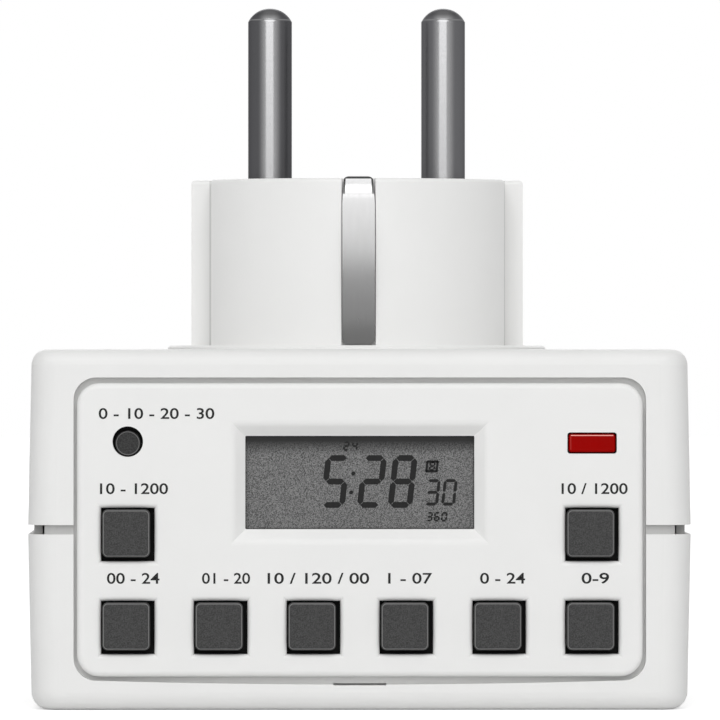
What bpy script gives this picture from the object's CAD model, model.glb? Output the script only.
import math

import bmesh
import bpy
from mathutils import Matrix, Vector


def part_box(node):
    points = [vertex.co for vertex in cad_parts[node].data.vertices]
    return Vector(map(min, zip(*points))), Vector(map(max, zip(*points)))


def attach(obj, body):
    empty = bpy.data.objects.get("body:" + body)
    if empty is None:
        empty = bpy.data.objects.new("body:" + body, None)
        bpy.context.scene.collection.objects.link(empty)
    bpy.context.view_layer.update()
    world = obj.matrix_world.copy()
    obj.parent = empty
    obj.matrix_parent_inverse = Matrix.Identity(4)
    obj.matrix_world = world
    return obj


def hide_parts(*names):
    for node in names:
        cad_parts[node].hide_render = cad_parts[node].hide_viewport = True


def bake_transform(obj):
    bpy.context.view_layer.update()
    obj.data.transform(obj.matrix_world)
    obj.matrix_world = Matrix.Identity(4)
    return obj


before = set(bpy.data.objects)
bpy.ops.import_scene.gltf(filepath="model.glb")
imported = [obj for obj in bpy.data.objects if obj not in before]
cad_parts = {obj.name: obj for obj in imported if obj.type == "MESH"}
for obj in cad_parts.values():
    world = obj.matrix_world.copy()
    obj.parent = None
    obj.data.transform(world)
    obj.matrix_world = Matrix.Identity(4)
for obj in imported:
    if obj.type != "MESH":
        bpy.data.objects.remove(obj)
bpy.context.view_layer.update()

# Camera
# The photograph is taken level and from about 0.9 m off, with a long lens.
# The camera stands a little left of the middle and is turned back to the object.
mm = 0.001
camera_place = (-10.46 * mm, -900 * mm, 37.15 * mm)
camera_turn = math.radians(-0.69)
photo_width = 720
focal_length_in_pixels = 8199
camera = bpy.data.objects.new("camera", bpy.data.cameras.new("camera"))
camera.data.lens = camera.data.sensor_width * focal_length_in_pixels / photo_width
camera.location = camera_place
camera.rotation_euler = (math.radians(90), 0, camera_turn)
bpy.context.scene.collection.objects.link(camera)
bpy.context.scene.camera = camera
bpy.context.scene.view_settings.view_transform = "Standard"

# Floor, backdrop and lamps
# The object stands on a white sheet before a white backdrop, which the world stands for.
# A tall front softbox and a broad one overhead light it, and a weak one fills the back.
floor_half_width = 3.0
floor_white = "#f2f2f2"
glow_near = 0.44
glow_far = 0.72
glow_spread = 2.5
fill_strength = 0.39
lamp_white = (1.0, 1.0, 1.0)
object_middle = (0, 0, 0.035)


def linear(colour):
    """Turns an sRGB hex colour into the linear one that a shader takes."""
    shares = [int(colour[place:place + 2], 16) / 255 for place in (1, 3, 5)]
    return tuple(s / 12.92 if s <= 0.04045 else ((s + 0.055) / 1.055) ** 2.4 for s in shares) + (1,)


def add(tree, kind, inputs=None, **settings):
    """Adds a shader node with its settings. An input is a value or another node's output."""
    made = tree.nodes.new("ShaderNode" + kind)
    for name, value in settings.items():
        setattr(made, name, value)
    for name, value in (inputs or {}).items():
        if isinstance(value, bpy.types.NodeSocket):
            tree.links.new(value, made.inputs[name])
        else:
            made.inputs[name].default_value = value
    return made


def sees_backdrop(tree):
    """1 for a ray that shows the backdrop straight, in a reflection or through glass, and else 0."""
    ray = add(tree, "LightPath").outputs
    seen = ray["Is Camera Ray"]
    for kind in ("Is Glossy Ray", "Is Transmission Ray"):
        seen = add(tree, "Math", {0: seen, 1: ray[kind]}, operation="MAXIMUM").outputs[0]
    return seen


def make_world():
    world = bpy.data.worlds.new("white backdrop")
    world.use_nodes = True
    tree = world.node_tree
    tree.nodes.clear()
    strength = add(
        tree, "Math", {0: sees_backdrop(tree), 1: 1 - fill_strength, 2: fill_strength},
        operation="MULTIPLY_ADD",
    )
    light = add(tree, "Background", {"Color": (1, 1, 1, 1), "Strength": strength.outputs[0]})
    add(tree, "OutputWorld", {"Surface": light.outputs[0]})
    bpy.context.scene.world = world


def make_floor():
    sheet = bmesh.new()
    bmesh.ops.create_grid(sheet, x_segments=1, y_segments=1, size=floor_half_width)
    mesh = bpy.data.meshes.new("floor")
    sheet.to_mesh(mesh)
    floor = bpy.data.objects.new("floor", mesh)
    bpy.context.scene.collection.objects.link(floor)
    paper = bpy.data.materials.new("white paper")
    paper.use_nodes = True
    tree = paper.node_tree
    tree.nodes.clear()
    matt = add(tree, "BsdfDiffuse", {"Color": linear(floor_white)})
    place = add(tree, "TexCoord").outputs["Object"]
    distance = add(tree, "VectorMath", {0: place}, operation="LENGTH").outputs["Value"]
    evened = add(
        tree, "MapRange",
        {"Value": distance, "From Max": glow_spread, "To Min": glow_near, "To Max": glow_far},
    )
    shown = add(tree, "Math", {0: sees_backdrop(tree), 1: evened.outputs[0]}, operation="MULTIPLY")
    glow = add(tree, "Emission", {"Strength": shown.outputs[0]})
    both = add(tree, "AddShader", {0: matt.outputs[0], 1: glow.outputs[0]})
    add(tree, "OutputMaterial", {"Surface": both.outputs[0]})
    mesh.materials.append(paper)


def make_lamp(name, width, height, power, place):
    """Rectangular softbox at a place in metres, turned to the middle of the object."""
    light = bpy.data.lights.new(name, "AREA")
    light.shape = "RECTANGLE"
    light.size = width
    light.size_y = height
    light.energy = power
    light.color = lamp_white
    lamp = bpy.data.objects.new(name, light)
    lamp.location = place
    aim = Vector(object_middle) - Vector(place)
    lamp.rotation_euler = aim.to_track_quat("-Z", "Y").to_euler()
    bpy.context.scene.collection.objects.link(lamp)


make_world()
make_floor()
make_lamp("front_softbox", 1.20, 1.20, 11.1, (-0.06, -1.45, 0.68))
make_lamp("top_softbox", 1.00, 0.70, 4.6, (-0.03, -0.80, 1.15))
make_lamp("rear_softbox", 1.40, 0.80, 4.5, (0.10, 1.50, 0.75))

# Housing shells
# Two deep shells of white ABS meet with a lip inside, and some dust lies in the seam between them.
# They are injection moulded in a tool with a fine spark-eroded grain.
housing_colour = "#e6e6e5"
housing_shade = "#e1e1e0"
housing_roughness = 0.42
plastic_smoother, plastic_rougher = 0.04, 0.06
seam_level, seam_half = 19.15 * mm, 0.49 * mm
seam_dust = "#bebebd"


def new_material(name, colour, inputs):
    """Material of one principled shader; the caller links patterns to it by its node tree."""
    material = bpy.data.materials.new(name)
    material.use_nodes = True
    tree = material.node_tree
    tree.nodes.clear()
    shader = add(tree, "BsdfPrincipled", {"Base Color": linear(colour), **inputs})
    add(tree, "OutputMaterial", {"Surface": shader.outputs[0]})
    return material, tree, shader


def tint(material, share, colour):
    """Lays a colour over a material's own by a share, which another node gives."""
    tree = material.node_tree
    target = tree.nodes["Principled BSDF"].inputs["Base Color"]
    own = target.links[0].from_socket if target.is_linked else tuple(target.default_value)
    mixed = add(tree, "Mix", {0: share, 6: own, 7: linear(colour)}, data_type="RGBA")
    tree.links.new(mixed.outputs[2], target)


def moulded_plastic(
    name, colour, shade, roughness, grain=0.35, relief=0.004, mottle=7.0, reflection=0.22,
):
    """Opaque moulded plastic: a fine eroded grain, which is drawn coarser than its real 0.05 mm
    so that it shows, and a faint mottle where the melt flowed. All sizes are in millimetres."""
    material, tree, shader = new_material(name, shade, {"Specular IOR Level": reflection})
    place = add(tree, "TexCoord").outputs["Object"]
    flow = add(tree, "TexNoise", {"Vector": place, "Scale": 1 / (mottle * mm), "Detail": 3.0})
    tint(material, flow.outputs[0], colour)
    smooth, rough = roughness - plastic_smoother, roughness + plastic_rougher
    sheen = add(tree, "MapRange", {"Value": flow.outputs[0], "To Min": smooth, "To Max": rough})
    tree.links.new(sheen.outputs[0], shader.inputs["Roughness"])
    pits = add(tree, "TexNoise", {"Vector": place, "Scale": 1 / (grain * mm), "Detail": 2.0})
    bump = add(tree, "Bump", {"Height": pits.outputs[0], "Strength": 1.0, "Distance": relief * mm})
    tree.links.new(bump.outputs[0], shader.inputs["Normal"])
    return material


def dress(material, *names):
    """Gives CAD nodes a material."""
    for name in names:
        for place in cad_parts[name].material_slots:
            place.material = material


abs_housing = moulded_plastic("ABS, moulded white", housing_colour, housing_shade, housing_roughness)
tree = abs_housing.node_tree
level = add(tree, "SeparateXYZ", {0: add(tree, "TexCoord").outputs["Object"]}).outputs["Z"]
in_seam = add(tree, "Math", {0: level, 1: seam_level, 2: seam_half}, operation="COMPARE")
tint(abs_housing, in_seam.outputs[0], seam_dust)
dress(abs_housing, "plug_shell", "socket_shell")

# Control panel
# One moulding of white ABS closes the front and holds the keys, the display and the lamp.
# It has the same grain as the shells and stands half a millimetre proud of them.
panel_colour = "#e7e7e6"
panel_shade = "#e3e3e2"
panel_roughness = 0.40
panel_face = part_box("control_panel")[0].y
abs_panel = moulded_plastic("ABS, moulded white panel", panel_colour, panel_shade, panel_roughness)
dress(abs_panel, "control_panel")

# Printed legends
# Dark numbers of pad-printing ink, 0.02 mm thick, stand above the keys.
# They are plain scales and ranges of numbers.
ink_colour = "#141414"
ink_worn_colour = "#242424"
ink_grain = 0.12 * mm
ink_thickness = 0.02 * mm
ink_bite = 0.004 * mm
ink_spread = 0.012
figure_height = 1.16 * mm


def printed_ink():
    """Pad-printing ink: slightly uneven cover, where fine pinholes let the pale base through."""
    inputs = {"Roughness": 0.55, "Specular IOR Level": 0.2}
    material, tree = new_material("pad printing ink", ink_colour, inputs)[:2]
    place = add(tree, "TexCoord").outputs["Object"]
    cover = add(tree, "TexNoise", {"Vector": place, "Scale": 1 / ink_grain, "Detail": 2.0})
    tint(material, cover.outputs[0], ink_worn_colour)
    return material


def stand_up(mesh, x, y, z):
    """Turns a flat mesh drawn in X and Y to face the camera and puts its origin at a point."""
    mesh.transform(Matrix.Translation((x, y, z)) @ Matrix.Rotation(math.radians(90), 4, "X"))


def new_piece(name, mesh, material):
    """Object at the origin, whose place is in its mesh."""
    mesh.materials.clear()
    mesh.materials.append(material)
    piece = bpy.data.objects.new(name, mesh)
    bpy.context.scene.collection.objects.link(piece)
    return piece


def figures(name, characters, width, height, thickness):
    """Mesh of a line of figures of a width and height, centred on X = 0, with its feet on Y = 0."""
    curve = bpy.data.curves.new(name, "FONT")
    curve.body = characters
    curve.align_x = "CENTER"
    curve.extrude = 1.0
    curve.offset = ink_spread
    text = bpy.data.objects.new(name, curve)
    bpy.context.scene.collection.objects.link(text)
    bpy.context.view_layer.update()
    mesh = bpy.data.meshes.new_from_object(text)
    bpy.data.objects.remove(text)
    low = min(vertex.co.y for vertex in mesh.vertices)
    high = max(vertex.co.y for vertex in mesh.vertices)
    left = min(vertex.co.x for vertex in mesh.vertices)
    right = max(vertex.co.x for vertex in mesh.vertices)
    mesh.transform(Matrix.Translation((-(left + right) / 2, -low, 0)))
    mesh.transform(Matrix.Diagonal((width / (right - left), height / (high - low), thickness / 2, 1)))
    return mesh


def print_legend(name, characters, width, x, foot):
    mesh = figures(name, characters, width, figure_height, ink_thickness)
    stand_up(mesh, x, panel_face + ink_bite - ink_thickness / 2, foot)
    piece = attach(new_piece(name, mesh, ink), "housing")


ink = printed_ink()
row_lift, upper_lift, reset_lift = 4.50, 4.15, 2.57
# Each key's characters, with their width, their shift to the right of the key's middle and the
# lift of their feet above it, in millimetres
legends = {
    "clock": ("00 - 24", 5.56, 0.75, row_lift), "timer": ("01 - 20", 5.09, 0.74, row_lift),
    "mode": ("10 / 120 / 00", 10.76, 0.68, row_lift), "week": ("1 - 07", 4.66, 0.56, row_lift),
    "hour": ("0 - 24", 4.77, 0.52, row_lift), "minute": ("0-9", 2.91, 0.51, row_lift),
    "random": ("10 - 1200", 7.20, 0.83, upper_lift), "recall": ("10 / 1200", 7.00, 0.43, upper_lift),
    "reset": ("0 - 10 - 20 - 30", 12.24, 3.05, reset_lift),
}
for key, (characters, width, shift, lift) in legends.items():
    low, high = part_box("key_" + key)
    middle = (low + high) / 2
    print_legend("legend_" + key, characters, width * mm, middle.x + shift * mm, middle.z + lift * mm)

# Plug
# The plug is a white polyamide moulding. Wings on its flat sides are grooved for a socket's ribs,
# with some dust in the creases at their roots. Its pins are turned from brass, plated with nickel
# and riveted behind its face.
plug_colour = "#eaeae9"
plug_shade = "#e6e6e5"
plug_roughness = 0.36
plug_crease_colour = "#d0d0cf"
plug_shoulder, plug_wing_half = 15.9 * mm, 5.5 * mm
crease_half = 0.22 * mm
plug_plastic = moulded_plastic("polyamide, moulded white", plug_colour, plug_shade, plug_roughness)
tree = plug_plastic.node_tree
seen = add(tree, "SeparateXYZ", {0: add(tree, "TexCoord").outputs["Object"]}).outputs
by_root = []
for axis, distance in (("X", plug_shoulder), ("Y", plug_wing_half)):
    aside = add(tree, "Math", {0: seen[axis]}, operation="ABSOLUTE")
    root = {0: aside.outputs[0], 1: distance, 2: crease_half}
    by_root.append(add(tree, "Math", root, operation="COMPARE").outputs[0])
in_crease = add(tree, "Math", {0: by_root[0], 1: by_root[1]}, operation="MULTIPLY")
tint(plug_plastic, in_crease.outputs[0], plug_crease_colour)
dress(plug_plastic, "plug_body")
pin_axis = 9.5 * mm
pin_lay = (0.15, 0.15, 1.5)
line_pin_colour = "#525254"
neutral_pin_colour = "#626264"
pin_worn_colour = "#989899"
pin_edge_colour = "#b8b8b9"
pin_dull_colour = "#4c4c4d"
pin_dull_share = 0.75
pin_ring_colour = "#7c7c7d"
pin_dull_roughness, pin_worn_roughness = 0.36, 0.16
pin_wear_reach, pin_wear_full = 1.35 * mm, 0.30 * mm
pin_dome_foot, pin_dome_dull = 74.55 * mm, 75.05 * mm
pin_ring_level, pin_ring_half = 74.43 * mm, 0.07 * mm
metal_wavering = 0.07


def plated_metal(name, colour, roughness, lay=(1, 1, 1), grain=0.5, relief=0.0015):
    """Plated metal with fine tool or rolling marks; lay stretches them, and a small number in it
    draws them out along that axis. They are drawn coarser than real ones so that they show."""
    material, tree, shader = new_material(name, colour, {"Metallic": 1.0})
    place = add(tree, "TexCoord").outputs["Object"]
    drawn = add(tree, "Mapping", {"Vector": place, "Scale": lay})
    marks = add(
        tree, "TexNoise", {"Vector": drawn.outputs[0], "Scale": 1 / (grain * mm), "Detail": 3.0},
    )
    smooth, rough = roughness - metal_wavering, roughness + metal_wavering
    sheen = add(tree, "MapRange", {"Value": marks.outputs[0], "To Min": smooth, "To Max": rough})
    tree.links.new(sheen.outputs[0], shader.inputs["Roughness"])
    bump = add(tree, "Bump", {"Height": marks.outputs[0], "Strength": 1.0, "Distance": relief * mm})
    tree.links.new(bump.outputs[0], shader.inputs["Normal"])
    return material


def worn_pin(name, axis, colour):
    """Dull nickel plating, polished along the front and back by the sleeves of a socket. The dome
    stays dull, past a bright ring where a sleeve first meets the pin."""
    material = plated_metal(name, colour, pin_dull_roughness, pin_lay)
    tree = material.node_tree
    shader = tree.nodes["Principled BSDF"]
    shader.inputs["Specular Tint"].default_value = linear(pin_edge_colour)
    seen = add(tree, "SeparateXYZ", {0: add(tree, "TexCoord").outputs["Object"]}).outputs
    apart = add(tree, "Math", {0: seen["X"], 1: axis}, operation="SUBTRACT")
    aside = add(tree, "Math", {0: apart.outputs[0]}, operation="ABSOLUTE")
    wiped = add(
        tree, "MapRange",
        {"Value": aside.outputs[0], "From Min": pin_wear_reach, "From Max": pin_wear_full},
        interpolation_type="SMOOTHSTEP",
    )
    tint(material, wiped.outputs[0], pin_worn_colour)
    sheen = add(
        tree, "MapRange",
        {"Value": wiped.outputs[0], "To Min": pin_dull_roughness, "To Max": pin_worn_roughness},
    )
    tree.links.new(sheen.outputs[0], shader.inputs["Roughness"])
    dome = {"From Min": pin_dome_foot, "From Max": pin_dome_dull, "To Max": pin_dull_share}
    domed = add(tree, "MapRange", {"Value": seen["Z"], **dome})
    tint(material, domed.outputs[0], pin_dull_colour)
    met = add(tree, "Math", {0: seen["Z"], 1: pin_ring_level, 2: pin_ring_half}, operation="COMPARE")
    tint(material, met.outputs[0], pin_ring_colour)
    return material


dress(worn_pin("brass, nickel plated, line pin", -pin_axis, line_pin_colour), "line_pin")
dress(worn_pin("brass, nickel plated, neutral pin", pin_axis, neutral_pin_colour), "neutral_pin")

# Earth strips and yoke
# Two bowed leaves of bright nickelled spring brass lie in the plug's grooves, rubbed bright where
# they bend and dark where they were sheared. A yoke of the same strip joins them inside and ends
# in the socket's clips.
strip_lay = (1.5, 1.5, 0.1)
strip_roughness = 0.24
strip_colour = "#757575"
strip_bent_colour = "#888888"
strip_tip_colour = "#eeeeee"
strip_end_colour = "#4a4a4a"
strip_bow_level, strip_bend_level, strip_bent_level = 48.0 * mm, 55.0 * mm, 56.6 * mm
strip_end_level = 56.68 * mm
taper_level, taper_half, taper = 54.03 * mm, 1.52 * mm, 0.056
rim_start = 1.0 * mm
earth_metal = plated_metal(
    "spring brass, bright nickel", strip_colour, strip_roughness, strip_lay, relief=0.0008,
)
tree = earth_metal.node_tree
seen = add(tree, "SeparateXYZ", {0: add(tree, "TexCoord").outputs["Object"]}).outputs
rubbed_stretches = (
    (strip_bow_level, strip_bend_level, strip_bent_colour),
    (strip_bend_level, strip_bent_level, strip_tip_colour),
)
for start, full, colour in rubbed_stretches:
    rubbed = add(tree, "MapRange", {"Value": seen["Z"], "From Min": start, "From Max": full})
    tint(earth_metal, rubbed.outputs[0], colour)
aside = add(tree, "Math", {0: seen["X"]}, operation="ABSOLUTE")
above = add(tree, "Math", {0: seen["Z"], 1: taper_level}, operation="SUBTRACT")
widened = add(
    tree, "Math", {0: above.outputs[0], 1: taper, 2: aside.outputs[0]}, operation="MULTIPLY_ADD",
)
rim = add(tree, "Math", {0: widened.outputs[0], 1: taper_half}, operation="GREATER_THAN")
tip = add(tree, "Math", {0: above.outputs[0], 1: rim_start}, operation="GREATER_THAN")
tip_rim = add(tree, "Math", {0: rim.outputs[0], 1: tip.outputs[0]}, operation="MULTIPLY")
end = add(tree, "Math", {0: seen["Z"], 1: strip_end_level}, operation="GREATER_THAN")
sheared = add(tree, "Math", {0: tip_rim.outputs[0], 1: end.outputs[0]}, operation="MAXIMUM")
tint(earth_metal, sheared.outputs[0], strip_end_colour)
dress(earth_metal, "earth_strip_front", "earth_strip_rear")
dress(plated_metal("spring brass, nickel flashed", "#b3a577", 0.28, strip_lay), "earth_yoke")

# Socket, shutter and contacts
# The cup is a white moulding with two ribs. Behind its floor an acetal shutter turns on a pivot,
# under a lid that carries the brass contact sleeves.
socket_plastic = moulded_plastic("polyamide, moulded white cup", "#e2e2e1", "#dddddc", 0.38)
dress(socket_plastic, "socket_cup", "shutter_cover")
dress(moulded_plastic("acetal, natural", "#d2d2cd", "#cbcbc6", 0.30, mottle=4.0), "shutter")
contact_brass = plated_metal("spring brass, bright", "#c8a85c", 0.26, (1.5, 1.5, 0.15))
dress(contact_brass, "line_contact", "neutral_contact", "line_strap", "neutral_strap")

# Shutter spring
# A curved leaf of spring steel lies along the lid's wall. Its heel stays there and its tip
# follows the shutter's arm, so the leaf gathers when a plug opens the shutter.
leaf_thickness = 0.3 * mm
leaf_steps = 48
leaf_low, leaf_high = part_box("shutter_spring")
spring_steel = plated_metal("spring steel", "#a2a2a4", 0.30, (0.2, 0.2, 2.0))


def turn_of(point):
    """Angle of a point about the shutter's pivot, from 0 to a full turn."""
    return math.atan2(point.y, point.x) % math.tau


def make_shutter_spring():
    points = [vertex.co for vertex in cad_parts["shutter_spring"].data.vertices]
    outer = max(math.hypot(point.x, point.y) for point in points)
    inner = outer - leaf_thickness
    tip, heel = min(map(turn_of, points)), max(map(turn_of, points))
    leaf = bmesh.new()
    section = [
        leaf.verts.new((radius, 0, level)) for radius, level in
        ((inner, leaf_low.z), (outer, leaf_low.z), (outer, leaf_high.z), (inner, leaf_high.z))
    ]
    end = leaf.faces.new(section)
    bmesh.ops.rotate(leaf, verts=section, matrix=Matrix.Rotation(tip, 3, "Z"))
    bmesh.ops.spin(
        leaf, geom=section + end.edges[:] + [end], axis=(0, 0, 1), angle=heel - tip,
        steps=leaf_steps,
    )
    bmesh.ops.recalc_face_normals(leaf, faces=leaf.faces)
    mesh = bpy.data.meshes.new("shutter_leaf")
    leaf.to_mesh(mesh)
    piece = new_piece("shutter_leaf", mesh, spring_steel)
    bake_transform(piece)
    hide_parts("shutter_spring")


make_shutter_spring()

# Display
# A cell of two glasses lies in a plastic frame behind the window, with a foil behind it and a
# striped rubber connector below. Its grey film is finely matt, and dark segments show in it.
film_colour = "#828282"
film_dark = "#2e2e2e"
film_edge = "#0c0c0c"
film_grain, film_relief = 0.112 * mm, 0.004 * mm
noise_low, noise_high = 0.3, 0.7
window_top, window_foot, window_half = 29.10 * mm, 19.20 * mm, 12.15 * mm
head_shade_start, head_shade_full = 2.0 * mm, 0.5 * mm
edge_shade_width, foot_shade, side_shade = 0.2 * mm, 0.8, 0.7
glass_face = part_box("display_glass_front")[0].y
segment_dark, segment_speck = "#161616", "#272727"
segment_thickness = 0.02 * mm
segment_bite = 0.004 * mm
segment_gap, segment_point = 0.16, 0.48
slant = math.tan(math.radians(6.5))


def polariser_film():
    """Grey anti-glare film with a fine light and dark sparkle, darker along its sealed edges."""
    inputs = {"Roughness": 0.32, "Specular IOR Level": 0.25}
    material, tree, shader = new_material("polariser film, anti-glare", film_dark, inputs)
    place = add(tree, "TexCoord").outputs["Object"]
    speckle = add(tree, "TexNoise", {"Vector": place, "Scale": 1 / film_grain, "Detail": 1.0})
    stretch = {"From Min": noise_low, "From Max": noise_high}
    spread = add(tree, "MapRange", {"Value": speckle.outputs[0], **stretch})
    tint(material, spread.outputs[0], film_colour)
    seen = add(tree, "SeparateXYZ", {0: place}).outputs
    aside = add(tree, "Math", {0: seen["X"]}, operation="ABSOLUTE").outputs[0]
    edges = (
        (seen["Z"], window_top - head_shade_start, window_top - head_shade_full, 1.0),
        (seen["Z"], window_foot + edge_shade_width, window_foot, foot_shade),
        (aside, window_half - edge_shade_width, window_half, side_shade),
    )
    shade = 0.0
    for distance, start, full, share in edges:
        reach = {"Value": distance, "From Min": start, "From Max": full, "To Max": share}
        edge = add(tree, "MapRange", reach)
        shade = add(tree, "Math", {0: edge.outputs[0], 1: shade}, operation="MAXIMUM").outputs[0]
    tint(material, shade, film_edge)
    bump = add(tree, "Bump", {"Height": speckle.outputs[0], "Distance": film_relief})
    tree.links.new(bump.outputs[0], shader.inputs["Normal"])
    return material


def liquid_crystal():
    """Switched liquid crystal: a flat dark tone that lets a little of the film's speckle through."""
    inputs = {"Roughness": 0.45, "Specular IOR Level": 0.1}
    material, tree = new_material("liquid crystal, switched", segment_dark, inputs)[:2]
    place = add(tree, "TexCoord").outputs["Object"]
    speckle = add(tree, "TexNoise", {"Vector": place, "Scale": 1 / film_grain, "Detail": 1.0})
    tint(material, speckle.outputs[0], segment_speck)
    return material


dress(polariser_film(), "display_glass_front")
cell_glass = new_material("display glass", "#9aa09a", {"Roughness": 0.05, "IOR": 1.52})[0]
dress(cell_glass, "display_glass_rear")
dress(plated_metal("reflector foil", "#8e9089", 0.40), "display_reflector")
dress(moulded_plastic("ABS, natural frame", "#dcdcd6", "#d6d6d0", 0.45), "display_holder")
segments = liquid_crystal()
lit = {
    "0": "abcdef", "2": "abdeg", "3": "abcdg", "4": "bcfg", "5": "acdfg", "6": "acdefg",
    "8": "abcdefg",
}


def bar(cell, length, thickness, place):
    """One segment: a bar with pointed ends."""
    stretch = Matrix.Diagonal((length, thickness, 1, 1))
    made = bmesh.ops.create_grid(cell, x_segments=1, y_segments=1, size=0.5, matrix=place @ stretch)
    bmesh.ops.bevel(
        cell, geom=made["verts"], offset=segment_point * thickness, offset_type="OFFSET",
        segments=1, profile=0.5, affect="VERTICES", material=-1,
    )


def seven_segment(cell, character, left, foot, width, height, stroke):
    """One figure of a display, drawn with the bars that it needs."""
    gap = segment_gap * stroke
    middle = left + width / 2
    across = width - stroke - gap
    upright = (height - stroke) / 2 - gap
    near, far = left + stroke / 2, left + width - stroke / 2
    high_level, low_level = foot + 0.75 * height - stroke / 4, foot + 0.25 * height + stroke / 4
    seats = {
        "a": (middle, foot + height - stroke / 2, 0), "d": (middle, foot + stroke / 2, 0),
        "g": (middle, foot + height / 2, 0), "b": (far, high_level, 90),
        "c": (far, low_level, 90), "e": (near, low_level, 90), "f": (near, high_level, 90),
    }
    for name in lit[character]:
        x, y, turn = seats[name]
        place = Matrix.Translation((x, y, 0)) @ Matrix.Rotation(math.radians(turn), 4, "Z")
        bar(cell, upright if turn else across, stroke, place)


def dot(cell, x, y, radius):
    place = Matrix.Translation((x, y, 0))
    bmesh.ops.create_circle(cell, cap_ends=True, segments=20, radius=radius, matrix=place)


def frame_of_bars(cell, left, foot, width, height, stroke):
    """Open rectangle of four bars."""
    middle, level = left + width / 2, foot + height / 2
    for y in (foot + stroke / 2, foot + height - stroke / 2):
        bar(cell, width, stroke, Matrix.Translation((middle, y, 0)))
    for x in (left + stroke / 2, left + width - stroke / 2):
        place = Matrix.Translation((x, level, 0)) @ Matrix.Rotation(math.radians(90), 4, "Z")
        bar(cell, height, stroke, place)


def finish_display(cell, name):
    """Slants the flat figures, gives them their thickness and puts them on the glass."""
    shear = Matrix.Identity(4)
    shear[0][1] = slant
    bmesh.ops.transform(cell, matrix=shear, verts=cell.verts)
    for face in cell.faces:
        face.normal_update()
        if face.normal.z < 0:
            face.normal_flip()
    bmesh.ops.solidify(cell, geom=cell.faces[:], thickness=-segment_thickness)
    bmesh.ops.recalc_face_normals(cell, faces=cell.faces)
    mesh = bpy.data.meshes.new(name)
    cell.to_mesh(mesh)
    stand_up(mesh, 0, glass_face + segment_bite, 0)
    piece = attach(new_piece(name, mesh, segments), "housing")


# The width, height and stroke of the three sizes of figure. Each figure in the lists below has
# the X of its left edge, and in the last list its foot too, in millimetres.
large = (2.62 * mm, 5.6 * mm, 0.62 * mm)
small = (1.47 * mm, 2.8 * mm, 0.32 * mm)
tiny = (0.66 * mm, 1.02 * mm, 0.20 * mm)
large_foot, small_foot = 21.45 * mm, 21.7 * mm
colon_x, colon_levels, colon_radius = -3.55 * mm, (23.1 * mm, 25.1 * mm), 0.22 * mm
clock = bmesh.new()
for character, left in (("5", -6.68), ("2", -2.78), ("8", 0.48)):
    seven_segment(clock, character, left * mm, large_foot, *large)
for level in colon_levels:
    dot(clock, colon_x, level, colon_radius)
finish_display(clock, "display_time")
seconds = bmesh.new()
for character, left in (("3", 4.35), ("0", 6.15)):
    seven_segment(seconds, character, left * mm, small_foot, *small)
finish_display(seconds, "display_seconds")
marks = bmesh.new()
box_left, box_foot = 4.05 * mm, 25.2 * mm
box_width, box_height, box_stroke = 1.35 * mm, 1.3 * mm, 0.26 * mm
frame_of_bars(marks, box_left, box_foot, box_width, box_height, box_stroke)
tiny_figures = (
    ("2", -4.95, 27.5), ("4", -4.05, 27.5), ("8", 4.42, 25.37),
    ("3", 4.75, 20.0), ("6", 5.52, 20.0), ("0", 6.29, 20.0),
)
for character, left, foot in tiny_figures:
    seven_segment(marks, character, left * mm, foot * mm, *tiny)
finish_display(marks, "display_marks")

# Keys and their mat
# Square caps of dark grey silicone rubber stand on one mat, whose folding skirts carry them.
# A carbon pill under each cap closes a gold pad on the board. Handling polishes their rims.
key_colour, key_speck = "#333333", "#494949"
round_key_colour, round_key_speck = "#2a2a2a", "#3f3f3f"
key_root = "#0d0d0d"
key_root_depth = 0.3 * mm
key_rim_colour = "#8a8a8a"
key_rim_share = 0.8
key_grain, key_relief = 0.12 * mm, 0.01 * mm
key_half, key_corner = 2.54 * mm, 0.6 * mm
round_key_radius = 1.36 * mm
key_rim_inset = 0.15 * mm
key_rim_width = 0.07 * mm


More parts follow.
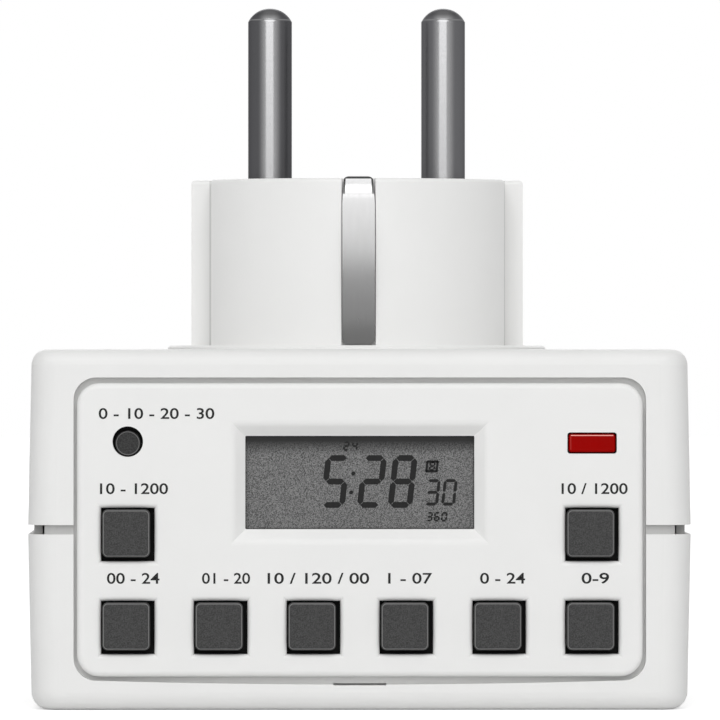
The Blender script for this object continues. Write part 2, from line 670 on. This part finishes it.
def key_rubber(name, centre, half, corner, root, colour, speck):
    """Matt silicone with a fine grain, paler along the rim of a cap, where fingers polish it, and
    darker from the root level on, where it is moulded in one with the mat."""
    inputs = {"Roughness": 0.62, "Specular IOR Level": 0.15}
    material, tree, shader = new_material(name, colour, inputs)
    place = add(tree, "TexCoord").outputs["Object"]
    middle = add(tree, "Mapping", {"Vector": place, "Location": [-part for part in centre]})
    grain = add(
        tree, "TexNoise", {"Vector": middle.outputs[0], "Scale": 1 / key_grain, "Detail": 1.0},
    )
    stretch = {"From Min": noise_low, "From Max": noise_high}
    spread = add(tree, "MapRange", {"Value": grain.outputs[0], **stretch})
    tint(material, spread.outputs[0], speck)
    flat = add(tree, "VectorMath", {0: middle.outputs[0], 1: (1, 0, 1)}, operation="MULTIPLY")
    folded = add(tree, "VectorMath", {0: flat.outputs[0]}, operation="ABSOLUTE")
    core = (half - corner, 0, half - corner)
    beyond = add(tree, "VectorMath", {0: folded.outputs[0], 1: core}, operation="SUBTRACT")
    outside = add(tree, "VectorMath", {0: beyond.outputs[0], 1: (0, 0, 0)}, operation="MAXIMUM")
    reach = add(tree, "VectorMath", {0: outside.outputs[0]}, operation="LENGTH").outputs["Value"]
    away = add(tree, "Math", {0: reach, 1: corner - key_rim_inset}, operation="SUBTRACT")
    apart = add(tree, "Math", {0: away.outputs[0]}, operation="ABSOLUTE")
    rim = {"From Min": key_rim_width, "From Max": 0.0, "To Max": key_rim_share}
    polish = add(
        tree, "MapRange", {"Value": apart.outputs[0], **rim}, interpolation_type="SMOOTHSTEP",
    )
    tint(material, polish.outputs[0], key_rim_colour)
    depth = add(tree, "SeparateXYZ", {0: place}).outputs["Y"]
    sunk = add(tree, "MapRange", {"Value": depth, "From Min": root, "From Max": root + key_root_depth})
    tint(material, sunk.outputs[0], key_root)
    bump = add(tree, "Bump", {"Height": grain.outputs[0], "Distance": key_relief})
    tree.links.new(bump.outputs[0], shader.inputs["Normal"])
    return material


def moulded_rubber(name, colour, shade):
    """Matt moulded silicone, softer in its grain than a hard plastic."""
    return moulded_plastic(
        name, colour, shade, 0.7, grain=0.25, relief=0.008, mottle=3.0, reflection=0.1,
    )


for key in legends:
    low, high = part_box("key_" + key)
    middle = (low + high) / 2
    if key == "reset":
        rubber = key_rubber(
            "silicone rubber, round key", middle, round_key_radius, round_key_radius,
            low.y + key_root_depth, round_key_colour, round_key_speck,
        )
    else:
        rubber = key_rubber(
            "silicone rubber, " + key, middle, key_half, key_corner, panel_face, key_colour,
            key_speck,
        )
    dress(rubber, "key_" + key)
dress(moulded_rubber("silicone rubber, mat", "#121212", "#0d0d0d"), "key_mat")
carbon = moulded_rubber("carbon-loaded silicone", "#2a2a2a", "#1d1d1d")
dress(carbon, *["pill_" + key for key in legends])
dress(plated_metal("gold flash", "#d2b060", 0.30), "contact_pads")
dress(moulded_rubber("striped silicone", "#2c2c2e", "#1f1f20"), "zebra_strip")

# Lamp and its lens
# A moulded window of clear red acrylic is pressed into the panel before a small red lamp. The
# light catches its softened rim at the top and at the left, and its depth is dark.
lens_red, lens_shade = "#980200", "#8c0200"
lens_flow = 2 * mm
lens_root = "#160808"
lens_root_start, lens_root_full = 0.3 * mm, 0.8 * mm
lens_rim, lens_side = "#f0a8a0", "#a83430"
lens_line_half = 0.045 * mm
lens_rim_lift, lens_rim_half = 0.80 * mm, 2.25 * mm
lens_side_offset, lens_side_half = 2.26 * mm, 0.72 * mm


def clear_red():
    """Clear red acrylic, dark in its depth, with a pale line along its rim and its left side."""
    inputs = {"Roughness": 0.22, "Specular IOR Level": 0.03}
    material, tree = new_material("acrylic, clear red", lens_shade, inputs)[:2]
    place = add(tree, "TexCoord").outputs["Object"]
    flow = add(tree, "TexNoise", {"Vector": place, "Scale": 1 / lens_flow})
    tint(material, flow.outputs[0], lens_red)
    seen = add(tree, "SeparateXYZ", {0: place}).outputs
    depth = {"From Min": panel_face + lens_root_start, "From Max": panel_face + lens_root_full}
    sunk = add(tree, "MapRange", {"Value": seen["Y"], **depth})
    tint(material, sunk.outputs[0], lens_root)
    low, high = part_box("lamp_lens")
    middle = (low + high) / 2
    lines = (
        ("Z", middle.z + lens_rim_lift, "X", middle.x, lens_rim_half, lens_rim),
        ("X", middle.x - lens_side_offset, "Z", middle.z, lens_side_half, lens_side),
    )
    for across, level, along, centre, half, colour in lines:
        line = {0: seen[across], 1: level, 2: lens_line_half}
        on_line = add(tree, "Math", line, operation="COMPARE")
        stretch = {0: seen[along], 1: centre, 2: half}
        on_stretch = add(tree, "Math", stretch, operation="COMPARE")
        both = {0: on_line.outputs[0], 1: on_stretch.outputs[0]}
        tint(material, add(tree, "Math", both, operation="MULTIPLY").outputs[0], colour)
    return material


dress(clear_red(), "lamp_lens")
dress(moulded_plastic("epoxy, diffused red", "#b02018", "#a01a12", 0.25), "indicator_lamp")

# Boards and their parts
# A green control board lies behind the panel and a tan power board behind the plug.
# The relay, capacitors, diodes and cells are soldered to them by tinned leads.
diagonal_wave = math.tau / 10
track_waver = 8 * mm
track_start, track_full = 0.30, 0.36
track_thickness = 0.035 * mm
lacquer_grain, lacquer_relief = 0.3 * mm, 0.006 * mm
band_half = 0.35 * mm
diode_band_inset = 1.8 * mm
resistor_band_places = (2.4 * mm, 3.7 * mm, 5.0 * mm, 6.6 * mm)


def circuit_board(name, mask, track, repeat):
    """Laminate under solder mask, with paler slanting bands where copper lies under it. They repeat
    every so many millimetres, coarser than real tracks, so that they show. Blender's diagonal wave
    has a length of diagonal_wave along an axis at a scale of 1."""
    material, tree, shader = new_material(name, mask, {"Roughness": 0.35})
    place = add(tree, "TexCoord").outputs["Object"]
    bend = add(tree, "TexNoise", {"Vector": place, "Scale": 1 / track_waver, "Detail": 1.0})
    wave = {"Vector": place, "Scale": diagonal_wave / (repeat * mm), "Distortion": 4.0}
    tracks = add(tree, "TexWave", wave, bands_direction="DIAGONAL")
    both = add(tree, "Math", {0: tracks.outputs[1], 1: bend.outputs[0]}, operation="MULTIPLY")
    reach = {"From Min": track_start, "From Max": track_full}
    shown = add(tree, "MapRange", {"Value": both.outputs[0], **reach})
    tint(material, shown.outputs[0], track)
    bump = add(tree, "Bump", {"Height": shown.outputs[0], "Distance": track_thickness})
    tree.links.new(bump.outputs[0], shader.inputs["Normal"])
    return material


def banded(name, body, band, axis, places, roughness):
    """Moulded component with painted bands at given places along an axis."""
    material, tree, shader = new_material(name, body, {"Roughness": roughness})
    place = add(tree, "TexCoord").outputs["Object"]
    along = add(tree, "SeparateXYZ", {0: place}).outputs[axis]
    for middle in places:
        near = add(tree, "Math", {0: along, 1: middle, 2: band_half}, operation="COMPARE")
        tint(material, near.outputs[0], band)
    grain = add(tree, "TexNoise", {"Vector": place, "Scale": 1 / lacquer_grain})
    bump = add(tree, "Bump", {"Height": grain.outputs[0], "Distance": lacquer_relief})
    tree.links.new(bump.outputs[0], shader.inputs["Normal"])
    return material


dress(circuit_board("glass laminate, green mask", "#14502a", "#1f6e3c", 15.08), "control_board")
dress(circuit_board("phenolic laminate, tan", "#9c7b45", "#8a6a3a", 25.13), "power_board")
dress(moulded_plastic("epoxy, moulded black", "#1f1f20", "#18181a", 0.5), "controller_chip")
dress(plated_metal("drawn nickel can", "#b9b9ba", 0.25), "clock_crystal")
dress(moulded_plastic("polyester, sealed case", "#20304c", "#1a2942", 0.3), "relay")
dress(moulded_plastic("polyester, yellow box", "#c79e24", "#b98f1c", 0.3), "film_capacitor")
dress(moulded_plastic("vinyl sleeve, dark", "#15181f", "#101319", 0.3), "smoothing_capacitors")
dress(moulded_plastic("epoxy, dipped blue", "#2a5286", "#234878", 0.3, mottle=2.0), "varistor")
diode_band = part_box("diodes")[1].y - diode_band_inset
dress(banded("epoxy, black with band", "#1c1c1c", "#b8b8b8", "Y", [diode_band], 0.5), "diodes")
resistor_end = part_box("fuse_resistor")[0].x
bands = [resistor_end + distance for distance in resistor_band_places]
dress(banded("ceramic, lacquered", "#6d8c96", "#7a2a1c", "X", bands, 0.4), "fuse_resistor")
dress(plated_metal("tinned brass", "#bdbdb8", 0.30), "link_pins")
dress(moulded_plastic("polyamide, header", "#1d1d1e", "#171718", 0.45), "link_header")
dress(plated_metal("nickelled steel", "#b0b2b4", 0.24, (0.2, 0.2, 1.0)), "backup_cells")

# Screws
# Steel screws, zinc plated and pressed with a cross recess, hold the shells together and the
# board to the panel.
zinc_steel = plated_metal("steel, zinc plated", "#a4a6a9", 0.32, grain=0.3)
dress(zinc_steel, "housing_screws", "board_screws")
